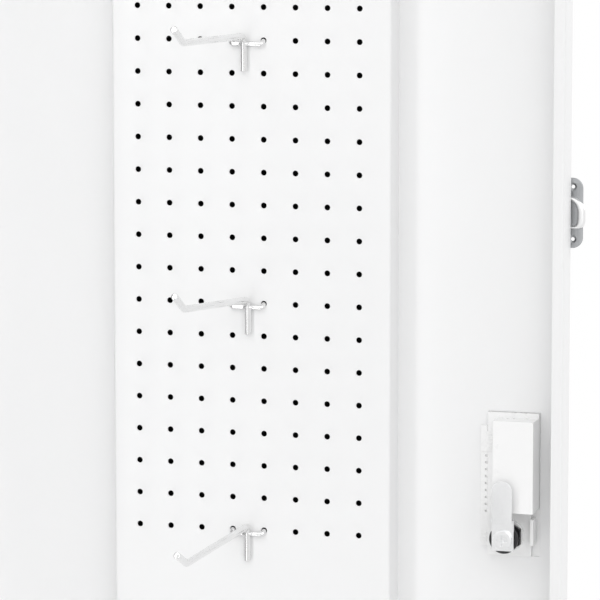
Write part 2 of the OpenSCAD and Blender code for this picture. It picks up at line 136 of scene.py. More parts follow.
def revolve(profile, origin, axis, sides=40, tube=False):
    """A solid of revolution: each (height, radius) pair of the profile is a circle round the axis.

    A tube's profile is closed on itself, and other profiles end in flat discs."""
    profile = np.asarray(profile, float)
    axis = np.asarray(axis, float)
    across = np.array([axis[1], axis[2], axis[0]])
    third = np.cross(axis, across)
    turn = np.linspace(0, 2 * np.pi, sides, endpoint=False)
    spoke = np.cos(turn)[:, None] * across + np.sin(turn)[:, None] * third
    rings = np.asarray(origin, float) + profile[:, 0, None, None] * axis + profile[:, 1, None, None] * spoke
    return [grid(rings, tube, True)] + ([] if tube else [disc(rings[0]), disc(rings[-1])])


def round_path(corners, radius, steps=8):
    """A polyline with each inner corner replaced by an arc of the radius, tangent to both legs."""
    corners = np.asarray(corners, float)
    radii = np.broadcast_to(radius, len(corners) - 2)
    path = [corners[:1]]
    for a, b, c, r in zip(corners[:-2], corners[1:-1], corners[2:], radii):
        d0, d1 = (b - a) / np.linalg.norm(b - a), (c - b) / np.linalg.norm(c - b)
        turn = math.acos(float(np.clip(d0 @ d1, -1, 1)))
        toward = (d1 - d0) / np.linalg.norm(d1 - d0)
        centre = b + toward * r / math.cos(turn / 2)
        angle = np.linspace(-turn / 2, turn / 2, steps + 1)[:, None]
        along = (d0 + d1) / np.linalg.norm(d0 + d1)
        path.append(centre - toward * r * np.cos(angle) + along * r * np.sin(angle))
    return np.concatenate(path + [corners[-1:]])


def rod(corners, radius, bend, skew, dome=0.55, sides=20):
    """A round bar along a bent path: circles across the path, ends eased by quarter ellipses.

    An end is a small flat disc, circles that widen over the ellipse, and one full circle just past
    them, which keeps the ellipse's shading off the bar. skew is a direction that the path never
    runs along; it sets where each circle starts."""
    path = round_path(corners, bend)
    flat, steps, guard = 0.12 * np.pi, 4, 0.3 * radius
    phi = np.linspace(flat, 0.5 * np.pi, steps)[:, None]
    rise = dome * radius * (1 - np.cos(phi - flat))
    rise = np.concatenate([rise, rise[-1:] + guard])
    start, end = path[1] - path[0], path[-2] - path[-1]
    start, end = start / np.linalg.norm(start), end / np.linalg.norm(end)
    points = np.concatenate([path[0] + start * rise, path[1:-1], (path[-1] + end * rise)[::-1]])
    scale = np.sin(phi).ravel()
    scale = np.concatenate([scale, np.ones(len(path)), scale[::-1]])
    tangent = np.gradient(points, axis=0)
    tangent[:steps + 1], tangent[-steps - 1:] = start, -end
    tangent /= np.linalg.norm(tangent, axis=1)[:, None]
    side = np.cross(tangent, skew)
    side /= np.linalg.norm(side, axis=1)[:, None]
    up = np.cross(side, tangent)
    turn = np.linspace(0, 2 * np.pi, sides, endpoint=False)[:, None]
    circle = np.cos(turn) * side[:, None] + np.sin(turn) * up[:, None]
    rings = points[:, None] + circle * (radius * scale)[:, None, None]
    return [grid(rings, wrap_v=True), disc(rings[0]), disc(rings[-1])]


def fold(corners, thickness=SHEET, radius=FOLD_R, steps=5):
    """The two faces of a folded sheet, as matching lists of section points.

    The first face follows the corners, and the second lies one thickness to its left. At each
    corner both turn about one centre: the inner face with the radius, the outer one with the
    radius plus the thickness."""
    corners = np.asarray(corners, float)
    legs = np.diff(corners, axis=0)
    legs /= np.linalg.norm(legs, axis=1)[:, None]
    left = np.stack([-legs[:, 1], legs[:, 0]], 1)
    first, second = [corners[:1]], [corners[:1] + thickness * left[:1]]
    for corner, d0, d1, n0 in zip(corners[1:-1], legs[:-1], legs[1:], left[:-1]):
        turn = math.atan2(d0[0] * d1[1] - d0[1] * d1[0], d0 @ d1)
        hand = 1 if turn > 0 else -1
        r1, r2 = (radius + thickness, radius) if hand > 0 else (radius, radius + thickness)
        centre = corner - d0 * r1 * math.tan(abs(turn) / 2) + hand * n0 * r1
        angle = math.atan2(-hand * n0[1], -hand * n0[0]) + np.linspace(0, turn, steps + 1)
        spoke = np.stack([np.cos(angle), np.sin(angle)], 1)
        first.append(centre + r1 * spoke)
        second.append(centre + r2 * spoke)
    first.append(corners[-1:])
    second.append(corners[-1:] + thickness * left[-1:])
    return np.concatenate(first), np.concatenate(second)


def extrude(faces, levels, place, keep=None):
    """A folded sheet of constant section: its two faces, its two long edges and its two ends.

    place turns (first coordinate, second coordinate, level) into points of the frame. keep masks
    the quads of both faces, where something else takes their place."""
    first, second = faces
    levels = np.asarray(levels, float)
    wall = [place(f[:, 0, None], f[:, 1, None], levels[None, :]) for f in (first, second)]
    parts = [grid(w, keep=keep) for w in wall]
    for i in (0, -1):
        parts.append(grid(np.stack([wall[0][i], wall[1][i]])))
        parts.append(grid(np.stack([wall[0][:, i], wall[1][:, i]])))
    return parts


def solid(boxes, cuts=()):
    """The outside of boxes joined together, less the boxes cut away, with quads on all their planes.

    Each box is three (low, high) pairs along n, s and z of the door. A cell between neighbouring
    planes is full or empty, and a quad stands wherever full meets empty."""
    every = np.round(np.array([*boxes, *cuts], float), 7)
    lines = [np.unique(every[:, axis]) for axis in range(3)]
    full = np.zeros([len(line) - 1 for line in lines], bool)
    for i, box in enumerate(every):
        inside = [(box[a][0] <= line[:-1]) & (line[1:] <= box[a][1]) for a, line in enumerate(lines)]
        full[np.ix_(*inside)] = i < len(boxes)
    index = np.arange(math.prod(len(line) for line in lines)).reshape([len(line) for line in lines])
    step = np.eye(3, dtype=int)
    quads = []
    for axis in range(3):
        padded = np.pad(full, [(1, 1) if a == axis else (0, 0) for a in range(3)])
        cell = np.argwhere(np.diff(padded.astype(int), axis=axis))
        b, c = step[(axis + 1) % 3], step[(axis + 2) % 3]
        quads.append(np.stack([index[tuple(k.T)] for k in (cell, cell + b, cell + b + c, cell + c)], 1))
    used, quads = np.unique(np.concatenate(quads), return_inverse=True)
    points = np.stack(np.meshgrid(*lines, indexing="ij"), -1).reshape(-1, 3)[used]
    return door(*points.T), quads.reshape(-1, 4)


# ---- pieces --------------------------------------------------------------------

def finish_mesh(mesh, angle):
    """Merges touching points, turns faces outwards and marks edges sharper than the angle."""
    work = bmesh.new()
    work.from_mesh(mesh)
    bmesh.ops.remove_doubles(work, verts=work.verts, dist=2e-6)
    bmesh.ops.recalc_face_normals(work, faces=work.faces)
    work.to_mesh(mesh)
    work.free()
    mesh.polygons.foreach_set("use_smooth", np.ones(len(mesh.polygons), bool))
    mesh.set_sharp_from_angle(angle=angle)


def piece(name, parts, materials, body, nodes, angle=SMOOTH_ANGLE, marks=None, edge=None):
    """One mesh from (points, faces) parts, welded, on its body and in place of its CAD nodes.

    marks gives a material number for each part, and edge rounds every sharp edge over."""
    points, faces, numbers, offset = [], [], [], 0
    for i, (part_points, part_faces) in enumerate(parts):
        points.append(np.asarray(part_points, float).reshape(-1, 3))
        part_faces = (np.asarray(part_faces) + offset).tolist()
        faces += part_faces
        numbers += [marks[i] if marks else 0] * len(part_faces)
        offset += len(points[-1])
    mesh = bpy.data.meshes.new(name)
    mesh.from_pydata(np.concatenate(points), [], faces)
    for material in materials:
        mesh.materials.append(material)
    mesh.polygons.foreach_set("material_index", numbers)
    finish_mesh(mesh, math.pi if edge else angle)
    item = bpy.data.objects.new(name, mesh)
    if edge:
        round_edges(item, edge, 3)
    install(item, body, nodes)


def round_edges(item, edge, segments):
    """Rounds every edge sharper than 30 degrees over the given width."""
    bevel = item.modifiers.new("edges", "BEVEL")
    bevel.width = edge
    bevel.segments = segments
    bevel.limit_method = "ANGLE"
    bevel.angle_limit = math.radians(30)
    bevel.harden_normals = True


def install(item, body, nodes):
    """Links an object, puts it on its body and lets it stand for its CAD nodes."""
    bpy.context.scene.collection.objects.link(item)
    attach(item, body)
    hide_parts(*nodes)


def eased(node, material, edge, segments=3):
    """A welded copy of a CAD node with every edge sharper than 30 degrees rounded over."""
    source = frame["nodes"][node]
    mesh = source.data.copy()
    mesh.materials.clear()
    mesh.materials.append(material)
    work = bmesh.new()
    work.from_mesh(mesh)
    bmesh.ops.remove_doubles(work, verts=work.verts, dist=1e-6)
    bmesh.ops.dissolve_limit(
        work, angle_limit=math.radians(1), verts=work.verts, edges=work.edges, use_dissolve_boundaries=False
    )
    work.to_mesh(mesh)
    work.free()
    mesh.polygons.foreach_set("use_smooth", np.ones(len(mesh.polygons), bool))
    item = bpy.data.objects.new(node + "_eased", mesh)
    round_edges(item, edge, segments)
    install(item, source["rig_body"], [node])


# ---- materials -------------------------------------------------------------------

def node_group(name, inputs, outputs, build):
    """A shader node group with named sockets: (name, socket type, default) and (name, type)."""
    group = bpy.data.node_groups.new(name, "ShaderNodeTree")
    for label, kind, default in inputs:
        socket = group.interface.new_socket(label, in_out="INPUT", socket_type=kind)
        socket.default_value = default
    for label, kind in outputs:
        group.interface.new_socket(label, in_out="OUTPUT", socket_type=kind)
    add, link = group.nodes.new, group.links.new
    build(add, link, add("NodeGroupInput").outputs, add("NodeGroupOutput").inputs)
    return group


def noise(add, link, vector, scale, detail=3.0, rough=0.5):
    """A noise texture on a vector; scale is a number or a socket."""
    texture = add("ShaderNodeTexNoise")
    texture.inputs["Detail"].default_value = detail
    texture.inputs["Roughness"].default_value = rough
    link(vector, texture.inputs["Vector"])
    if isinstance(scale, (int, float)):
        texture.inputs["Scale"].default_value = scale
    else:
        link(scale, texture.inputs["Scale"])
    return texture.outputs["Fac"]


def remap(add, link, value, low, high, to_low, to_high):
    """A value's range stretched onto another, without going past its ends."""
    node = add("ShaderNodeMapRange")
    for label, number in (("From Min", low), ("From Max", high), ("To Min", to_low), ("To Max", to_high)):
        if isinstance(number, (int, float)):
            node.inputs[label].default_value = number
        else:
            link(number, node.inputs[label])
    link(value, node.inputs["Value"])
    return node.outputs["Result"]


def math_node(add, link, operation, a, b):
    """One arithmetic step on two sockets or numbers."""
    node = add("ShaderNodeMath")
    node.operation = operation
    for socket, value in zip(node.inputs, (a, b)):
        if isinstance(value, (int, float)):
            socket.default_value = value
        else:
            link(value, socket)
    return node.outputs["Value"]


def build_orange_peel(add, link, source, target):
    """The low, rounded pebbling of baked powder: two noises, a millimetre and a third of one."""
    coarse = noise(add, link, source["Vector"], source["Scale"], 1.0)
    fine = noise(add, link, source["Vector"], math_node(add, link, "MULTIPLY", source["Scale"], 3.1), 2.0)
    height = math_node(add, link, "ADD", coarse, math_node(add, link, "MULTIPLY", fine, 0.35))
    bump = add("ShaderNodeBump")
    bump.inputs["Distance"].default_value = 0.05 * MM
    link(source["Strength"], bump.inputs["Strength"])
    link(height, bump.inputs["Height"])
    link(bump.outputs["Normal"], target["Normal"])


def build_cloud(add, link, source, target):
    """A colour that drifts a little lighter and darker over the surface, with finer specks."""
    wide = noise(add, link, source["Vector"], source["Scale"], 3.0, 0.55)
    speck = noise(add, link, source["Vector"], math_node(add, link, "MULTIPLY", source["Scale"], 90.0), 2.0)
    mixed = math_node(add, link, "ADD", wide, math_node(add, link, "MULTIPLY", speck, 0.3))
    low = math_node(add, link, "SUBTRACT", 1.0, source["Drift"])
    factor = remap(add, link, mixed, 0.45, 0.85, low, 1.0)
    scale = add("ShaderNodeVectorMath")
    scale.operation = "SCALE"
    link(source["Color"], scale.inputs[0])
    link(factor, scale.inputs["Scale"])
    link(scale.outputs["Vector"], target["Color"])


def build_grain(add, link, source, target):
    """Fine parallel lines left by rolling or drawing: noise squeezed along one direction."""
    stretch = add("ShaderNodeVectorMath")
    stretch.operation = "MULTIPLY"
    link(source["Vector"], stretch.inputs[0])
    link(source["Stretch"], stretch.inputs[1])
    lines = noise(add, link, stretch.outputs["Vector"], source["Scale"], 4.0, 0.6)
    blotch = noise(add, link, source["Vector"], 60.0, 3.0, 0.6)
    mixed = math_node(add, link, "ADD", math_node(add, link, "MULTIPLY", lines, 0.7),
                      math_node(add, link, "MULTIPLY", blotch, 0.3))
    link(remap(add, link, mixed, 0.3, 0.7, 0.0, 1.0), target["Mask"])
    bump = add("ShaderNodeBump")
    bump.inputs["Distance"].default_value = 0.03 * MM
    link(source["Strength"], bump.inputs["Strength"])
    link(lines, bump.inputs["Height"])
    link(bump.outputs["Normal"], target["Normal"])


def build_scuff(add, link, source, target):
    """Sparse rubbed patches: the high tops of a noise, broken up by a finer one."""
    patch = noise(add, link, source["Vector"], source["Scale"], 4.0, 0.65)
    fine = noise(add, link, source["Vector"], math_node(add, link, "MULTIPLY", source["Scale"], 14.0), 3.0)
    both = math_node(add, link, "MULTIPLY", remap(add, link, patch, 0.56, 0.72, 0.0, 1.0),
                     remap(add, link, fine, 0.4, 0.6, 0.0, 1.0))
    link(math_node(add, link, "MULTIPLY", both, source["Amount"]), target["Mask"])


VECTOR, FLOAT, COLOR = "NodeSocketVector", "NodeSocketFloat", "NodeSocketColor"
ORANGE_PEEL = node_group(
    "orange_peel",
    [("Vector", VECTOR, (0, 0, 0)), ("Scale", FLOAT, 700.0), ("Strength", FLOAT, 0.3)],
    [("Normal", VECTOR)],
    build_orange_peel,
)
CLOUD = node_group(
    "cloud",
    [
        ("Vector", VECTOR, (0, 0, 0)),
        ("Color", COLOR, (1, 1, 1, 1)),
        ("Scale", FLOAT, 5.0),
        ("Drift", FLOAT, 0.02),
    ],
    [("Color", COLOR)],
    build_cloud,
)
GRAIN = node_group(
    "grain",
    [
        ("Vector", VECTOR, (0, 0, 0)),
        ("Stretch", VECTOR, (1, 1, 1)),
        ("Scale", FLOAT, 900.0),
        ("Strength", FLOAT, 0.3),
    ],
    [("Mask", FLOAT), ("Normal", VECTOR)],
    build_grain,
)
SCUFF = node_group(
    "scuff",
    [("Vector", VECTOR, (0, 0, 0)), ("Scale", FLOAT, 30.0), ("Amount", FLOAT, 0.5)],
    [("Mask", FLOAT)],
    build_scuff,
)


def material(name, color, roughness, metallic=0.0):
    """A material with its Principled shader, and helpers that add to it."""
    made = bpy.data.materials.new(name)
    made.use_nodes = True
    nodes, links = made.node_tree.nodes, made.node_tree.links
    shader = nodes["Principled BSDF"]
    shader.inputs["Base Color"].default_value = (*color, 1.0)
    shader.inputs["Roughness"].default_value = roughness
    shader.inputs["Metallic"].default_value = metallic
    made.diffuse_color = (*color, 1.0)
    return made, shader, nodes.new, links.new


def use_group(add, link, group, coordinates, **values):
    """A node group placed in a material with its own values."""
    node = add("ShaderNodeGroup")
    node.node_tree = group
    link(coordinates, node.inputs["Vector"])
    for label, value in values.items():
        node.inputs[label].default_value = value
    return node


def painted(name, color, roughness, drift, peel, peel_scale=700.0):
    """Baked paint or moulded plastic: drifting tone, pebbled surface and rubbed patches."""
    made, shader, add, link = material(name, color, roughness)
    where = add("ShaderNodeTexCoord").outputs["Object"]
    tone = use_group(add, link, CLOUD, where, Color=(*color, 1.0), Scale=4.0, Drift=drift)
    skin = use_group(add, link, ORANGE_PEEL, where, Scale=peel_scale, Strength=peel)
    rub = use_group(add, link, SCUFF, where, Scale=9.0, Amount=1.0)
    link(tone.outputs["Color"], shader.inputs["Base Color"])
    link(skin.outputs["Normal"], shader.inputs["Normal"])
    gloss = remap(add, link, rub.outputs["Mask"], 0.0, 1.0, roughness, roughness * 0.8)
    link(gloss, shader.inputs["Roughness"])
    return made


def plated(name, color, dull_color, roughness, stretch, strength):
    """Plated steel: drawing lines along one direction, and a duller tone and gloss in patches."""
    made, shader, add, link = material(name, color, roughness, metallic=1.0)
    where = add("ShaderNodeTexCoord").outputs["Object"]
    lines = use_group(add, link, GRAIN, where, Stretch=stretch, Scale=900.0, Strength=strength)
    rub = use_group(add, link, SCUFF, where, Scale=120.0, Amount=0.6)
    mix = add("ShaderNodeMix")
    mix.data_type = "RGBA"
    colour_sockets = [s for s in mix.inputs if s.type == "RGBA"]
    colour_sockets[0].default_value = (*color, 1.0)
    colour_sockets[1].default_value = (*dull_color, 1.0)
    share = math_node(add, link, "MULTIPLY", lines.outputs["Mask"], 0.7)
    share = math_node(add, link, "MAXIMUM", share, rub.outputs["Mask"])
    link(share, mix.inputs["Factor"])
    link([s for s in mix.outputs if s.type == "RGBA"][0], shader.inputs["Base Color"])
    link(remap(add, link, share, 0.0, 1.0, roughness, roughness * 1.6), shader.inputs["Roughness"])
    link(lines.outputs["Normal"], shader.inputs["Normal"])
    return made


POWDER_WHITE = painted("powder_white", (0.885, 0.886, 0.888), 0.42, 0.012, 0.22)
PLASTIC_WHITE = painted("plastic_white", (0.93, 0.93, 0.928), 0.3, 0.01, 0.1, 1500.0)
BARREL_BLACK = painted("barrel_black", (0.02, 0.02, 0.022), 0.35, 0.3, 0.3)
BUFFER_RUBBER = painted("buffer_rubber", (0.03, 0.03, 0.03), 0.75, 0.3, 0.5)
# Near-black painted shade, not a primer: it covers the hollow behind the hook panel (inner skin and the
# panel's rear faces), standing in for the shade seen through the holes
HOLLOW_PAINTED_SHADE = painted("primer_dark", (0.035, 0.036, 0.038), 0.7, 0.3, 0.4)
ZINC = plated("zinc", (0.50, 0.51, 0.52), (0.36, 0.37, 0.38), 0.34, (1.0, 1.0, 0.06), 0.5)
CHROME_HOOK = plated("hook_plating", (0.88, 0.88, 0.88), (0.78, 0.78, 0.78), 0.12, (0.05, 1.0, 1.0), 0.2)
CHROME = plated("bright_plating", (0.95, 0.955, 0.96), (0.86, 0.865, 0.87), 0.2, (1.0, 0.3, 1.0), 0.2)
BRIGHT_RING = plated("ring_plating", (0.96, 0.96, 0.96), (0.90, 0.90, 0.90), 0.3, (1.0, 1.0, 0.3), 0.15)

# ---- cabinet ---------------------------------------------------------------------

EASE = 0.35 * MM
LEVELS = ("lower", "middle", "upper")


def side_sheet(node, hand):
    """A side of the cabinet, its rear edge folded in behind the back."""
    x, y, z = span(node)
    outer, rear = (x[1], x[0]) if hand > 0 else (x[0], x[1])
    corners = [(outer, y[0]), (outer, y[1]), (rear, y[1])]
    parts = extrude(fold(corners[::hand]), z, at)
    piece(node + "_sheet", parts, [POWDER_WHITE], "cabinet", [node])


def upright(node, corners):
    """A folded stile: its section in x and y, the whole height of the node."""
    parts = extrude(fold(corners), span(node)[2], at)
    piece(node + "_folded", parts, [POWDER_WHITE], "cabinet", [node])


def crosswise(node, corners):
    """A folded sheet: its section in y and z, the whole width of the node."""
    parts = extrude(fold(corners), span(node)[0], lambda y, z, x: at(x, y, z))
    piece(node + "_folded", parts, [POWDER_WHITE], "cabinet", [node])


def build_cabinet():
    """The cabinet's shell, front frame and shelves. Each shelf is folded down and hemmed at its
    front and back."""
    side_sheet("left_side", -1)
    side_sheet("right_side", 1)
    x, y = span("lock_stile")[:2]
    upright("lock_stile", [(x[0], y[0]), (x[1], y[0]), (x[1], y[1])])
    x, y = span("hinge_stile")[:2]
    upright("hinge_stile", [(x[0], y[1]), (x[0], y[0]), (x[1], y[0])])
    y, z = span("top_rail")[1:]
    crosswise("top_rail", [(y[0], z[1]), (y[0], z[0]), (y[1], z[0])])
    hem = 8 * MM
    for level in LEVELS:
        y, z = span(level + "_shelf")[1:]
        rear = [(y[1] - hem, z[0]), (y[1], z[0]), (y[1], z[1])]
        front = [(y[0], z[1]), (y[0], z[0]), (y[0] + hem, z[0])]
        crosswise(level + "_shelf", rear + front)
    for node in ("floor_panel", "back_panel", "top_panel", "stop_strip", "base_tray"):
        eased(node, POWDER_WHITE, EASE)


def build_brackets():
    """Six angle brackets, two under each shelf, each a fold run from front to back."""
    x, y = span("shelf_brackets")[:2]
    leg, ledge = 18 * MM, 14 * MM
    parts = []
    for level in LEVELS:
        top = span(level + "_shelf")[2][1] - SHEET
        for wall, hand in ((x[0], 1), (x[1], -1)):
            corners = [(wall, top - leg), (wall, top), (wall + hand * ledge, top)]
            parts += extrude(fold(corners[::-hand]), y, lambda x, z, y: at(x, y, z))
    piece("shelf_brackets_folded", parts, [POWDER_WHITE], "cabinet", ["shelf_brackets"])


def build_screws():
    """Pan heads: a domed disc with a dished centre, two to a bracket on each side."""
    x, y, z = span("frame_screws")
    spacing = span("upper_shelf")[2][1] - span("middle_shelf")[2][1]
    radius = (z[1] - z[0] - 2 * spacing) / 2
    below_shelf = 10 * MM
    side = span("right_side")[0][1]
    head = x[1] - side
    arc = np.linspace(0, np.pi / 2, 7)
    profile = np.concatenate([
        [(0, radius * 0.98)],
        np.stack([head * (0.25 + 0.75 * np.sin(arc)), radius * (0.35 + 0.65 * np.cos(arc))], 1),
        [(head * 0.55, radius * 0.22)],
    ])
    parts = []
    for shelf in LEVELS:
        level = span(shelf + "_shelf")[2][1] - below_shelf
        for depth in (y[0] + radius, y[1] - radius):
            parts += revolve(profile, (side, depth, level), (1, 0, 0), 24)
            parts += revolve(profile, (-side, depth, level), (-1, 0, 0), 24)
    piece("bracket_screws", parts, [ZINC], "cabinet", ["frame_screws"])


def build_buffers():
    """Two rubber discs with a rounded rim on the stop strip."""
    x, y, z = span("stop_buffers")
    radius, height = (x[1] - x[0]) / 2, y[1] - y[0]
    profile = [(0, radius), (height * 0.5, radius), (height * 0.85, radius * 0.97), (height, radius * 0.88)]
    parts = []
    for level in (z[0] + radius, z[1] - radius):
        parts += revolve(profile, ((x[0] + x[1]) / 2, y[1], level), (0, -1, 0), 32)
    piece("rubber_buffers", parts, [BUFFER_RUBBER], "cabinet", ["stop_buffers"])


def build_hinges():
    """Bevelled leaves, and pins with domed ends."""
    for level in LEVELS:
        eased(level + "_hinge_frame_leaf", POWDER_WHITE, EASE)
        eased(level + "_hinge_door_leaf", POWDER_WHITE, EASE)
        x, y, z = span(level + "_hinge_pin")
        radius, length = (x[1] - x[0]) / 2, z[1] - z[0]
        arc = np.linspace(0, np.pi / 2, 5)
        dome = np.stack([radius * 0.4 * (1 - np.sin(arc)), radius * (0.3 + 0.7 * np.cos(arc))], 1)[::-1]
        profile = np.concatenate([dome, [(length, 0)] - dome[::-1] * [1, -1]])
        parts = revolve(profile, ((x[0] + x[1]) / 2, (y[0] + y[1]) / 2, z[0]), (0, 0, 1), 24)
        piece(level + "_pin_turned", parts, [ZINC], "cabinet", [level + "_hinge_pin"])


build_cabinet()
build_brackets()
build_screws()
build_buffers()
build_hinges()

# ---- door --------------------------------------------------------------------------

SHEET_N, PANEL_S, PANEL_Z = door_span("perforated_panel")
PANEL_N = door_span("panel_channels")[0][0], SHEET_N[1]
DOOR_N, DOOR_S, DOOR_Z = door_span("door_pan")
HOUSING_N, HOUSING_S, HOUSING_Z = door_span("lock_housing")
BARREL_BOX = door_span("lock_barrel")
BARREL = sum(BARREL_BOX[1]) / 2, sum(BARREL_BOX[2]) / 2
(CLIP_N, _), CLIP_S, CLIP_Z = door_span("lock_clips")

# How far the housing's bezel laps the skin, and the gap round its block in the skin's opening
RIM, CUT_GAP = 4.5 * MM, 0.5 * MM
CUT_S = HOUSING_S[0] + RIM - CUT_GAP, HOUSING_S[1] - RIM + CUT_GAP
CUT_Z = HOUSING_Z[0] + RIM - CUT_GAP, HOUSING_Z[1] - RIM + CUT_GAP


def pan_ring(inset, lines_s, lines_z, corner):
    """Round the door at one inset: four arcs joined by straight sides that stop at given lines."""
    s0, s1 = DOOR_S[0] + inset, DOOR_S[1] - inset
    z0, z1 = DOOR_Z[0] + inset, DOOR_Z[1] - inset
    r = max(corner - inset, 0.0)
    quarter = np.linspace(0, np.pi / 2, 5)
    ring = []
    sides = [
        ((s1 - r, z0 + r), -np.pi / 2, [(s1, line) for line in lines_z]),
        ((s1 - r, z1 - r), 0.0, [(line, z1) for line in lines_s[::-1]]),
        ((s0 + r, z1 - r), np.pi / 2, [(s0, line) for line in lines_z[::-1]]),
        ((s0 + r, z0 + r), np.pi, [(line, z0) for line in lines_s]),
    ]
    for (cs, cz), start, stops in sides:
        ring += [(cs + r * math.cos(start + a), cz + r * math.sin(start + a)) for a in quarter]
        ring += stops
    return np.array(ring)


def build_door_pan():
    """The door's shell: a folded section carried round the four sides, and a skin between them.

    The section runs from the lip over the wall to the skin. The skin is a grid of rectangles, one
    of them left out where the lock housing passes through. Its inner face behind the hook panel
    carries near-black painted shade, standing in for the shade of the hollow seen through the
    panel's holes."""
    reach, lip, bend, corner = 20 * MM, 8.8 * MM, 1.0 * MM, 1.6 * MM
    lines_s = [PANEL_S[0], PANEL_S[1], CUT_S[0], CUT_S[1]]
    lines_z = [PANEL_Z[0] + reach, CUT_Z[0], CUT_Z[1], PANEL_Z[1] - reach]
    section = [(lip, DOOR_N[1]), (0, DOOR_N[1]), (0, DOOR_N[0]), (reach, DOOR_N[0])]
    rings = [
        np.stack([door(n, *pan_ring(d, lines_s, lines_z, corner).T) for d, n in face])
        for face in fold(section, radius=bend)
    ]
    parts = [grid(r, wrap_v=True) for r in rings]
    parts.append(grid(np.stack([rings[0][0], rings[1][0]]), wrap_v=True))
    s = np.array([DOOR_S[0] + reach, *lines_s, DOOR_S[1] - reach])
    z = np.array([DOOR_Z[0] + reach, *lines_z, DOOR_Z[1] - reach])
    keep = np.ones((len(s) - 1, len(z) - 1), bool)
    keep[s[:-1] == CUT_S[0], z[:-1] == CUT_Z[0]] = False
    behind = np.zeros_like(keep)
    behind[s[:-1] == PANEL_S[0]] = True
    skin = (DOOR_N[0], DOOR_N[0] + SHEET)
    for n in skin:
        parts.append(grid(door(n, s[:, None], z[None, :]), keep=keep & ~behind))
        parts.append(grid(door(n, s[:, None], z[None, :]), keep=keep & behind))
    # The skin's face toward the hook panel, behind it, takes the painted hollow shade; the hole's sides
    # stay white
    marks = [0] * (len(parts) - 1) + [1, 0]
    hole_s = np.array([CUT_S[0], CUT_S[1], CUT_S[1], CUT_S[0]])
    hole_z = np.array([CUT_Z[0], CUT_Z[0], CUT_Z[1], CUT_Z[1]])
    parts.append(grid(np.stack([door(n, hole_s, hole_z) for n in skin]), wrap_v=True))
    piece("door_shell", parts, [POWDER_WHITE, HOLLOW_PAINTED_SHADE], "door", ["door_pan"], marks=marks)


def build_perforated_panel():
    """The hook panel: a hat section whose face is tiled with square cells, each with a round hole.

    A cell joins the sixteen points of its square to circles that roll over into the hole."""
    face, foot = PANEL_N[1], PANEL_N[0]
    steps = 4
    s_lines = GRID_S + PITCH * (np.arange(COLUMNS * steps + 1) / steps - COLUMNS / 2)
    z_lines = GRID_Z + PITCH * (np.arange(ROWS * steps + 1) / steps - ROWS / 2)
    section = [(PANEL_S[1], foot), (PANEL_S[1], face), (PANEL_S[0], face), (PANEL_S[0], foot)]
    first, second = fold(section, radius=1.4 * MM)
    middle = len(first) // 2
    across = s_lines[::-1]
    front = np.stack([across, np.full_like(across, face)], 1)
    rear = np.stack([across, np.full_like(across, face - SHEET)], 1)
    first = np.concatenate([first[:middle], front, first[middle:]])
    second = np.concatenate([second[:middle], rear, second[middle:]])
    levels = np.concatenate([[PANEL_Z[0]], z_lines, [PANEL_Z[1]]])
    keep = np.ones((len(first) - 1, len(levels) - 1), bool)
    keep[middle:middle + len(across) - 1, 1:-1] = False
    parts = extrude((first, second), levels, lambda s, n, z: door(n, s, z), keep)
    # The panel's rear face (the second part) takes the painted hollow shade
    marks = [0, 1] + [0] * (len(parts) - 2)

    side = np.linspace(-0.5, 0.5, steps + 1)[:-1]
    square = np.concatenate([
        np.stack([side, -0.5 + 0 * side], 1), np.stack([0.5 + 0 * side, side], 1),
        np.stack([-side, 0.5 + 0 * side], 1), np.stack([-0.5 + 0 * side, -side], 1)])
    circle = square / np.linalg.norm(square, axis=1)[:, None]
    roll = 0.35 * MM
    loops = [(square * PITCH, face)]
    for a in np.array([0, 30, 60, 90]) * np.pi / 180:
        loops.append((circle * (HOLE_R + roll * (1 - math.sin(a))), face - roll * (1 - math.cos(a))))
    loops.append((circle * HOLE_R, face - SHEET))
    cell = np.stack([np.concatenate([ring, np.full((len(ring), 1), n)], 1) for ring, n in loops])
    back = np.stack([np.concatenate([ring, np.full((len(ring), 1), face - SHEET)], 1)
                     for ring in (circle * HOLE_R, square * PITCH)])
    centre_s = GRID_S + PITCH * (np.arange(COLUMNS) - (COLUMNS - 1) / 2)
    centre_z = GRID_Z + PITCH * (np.arange(ROWS) - (ROWS - 1) / 2)
    centres = np.stack(np.meshgrid(centre_s, centre_z, indexing="ij"), -1).reshape(-1, 1, 1, 2)
    # The rear of each cell also takes the painted hollow shade
    for loop_set, mark in ((cell, 0), (back, 1)):
        points, quads = grid(loop_set, wrap_v=True)
        flat = points.reshape(1, *loop_set.shape)
        placed = door(flat[..., 2], centres[..., 0] + flat[..., 0], centres[..., 1] + flat[..., 1])
        count = np.arange(len(centres))[:, None, None] * len(points)
        parts.append((placed.reshape(-1, 3), (quads[None] + count).reshape(-1, 4)))
        marks.append(mark)
    piece("hook_panel", parts, [POWDER_WHITE, HOLLOW_PAINTED_SHADE], "door",
          ["perforated_panel", "panel_channels"], marks=marks)


# How each hook hangs: the row of its holes from the lowest, the prong's rise and sideways lean in
# degrees, and how far along the crossbar the leg is welded
HOOKS = {
    "bottom": (0, -0.3, -0.8, 0.0),
    "middle": (7, 4.4, -1.5, 0.9),
    "top": (15, 1.5, -0.3, -2.2),
}
ROD_R, PIN_R = 2.6 * MM, 1.8 * MM
LEG, LEG_TOP, REACH = 24.0 * MM, 3 * MM, 150 * MM
TIP, TIP_RISE, TIP_DRIFT = 22 * MM, 10.5 * MM, 1.15
SAG = 2.4 * MM


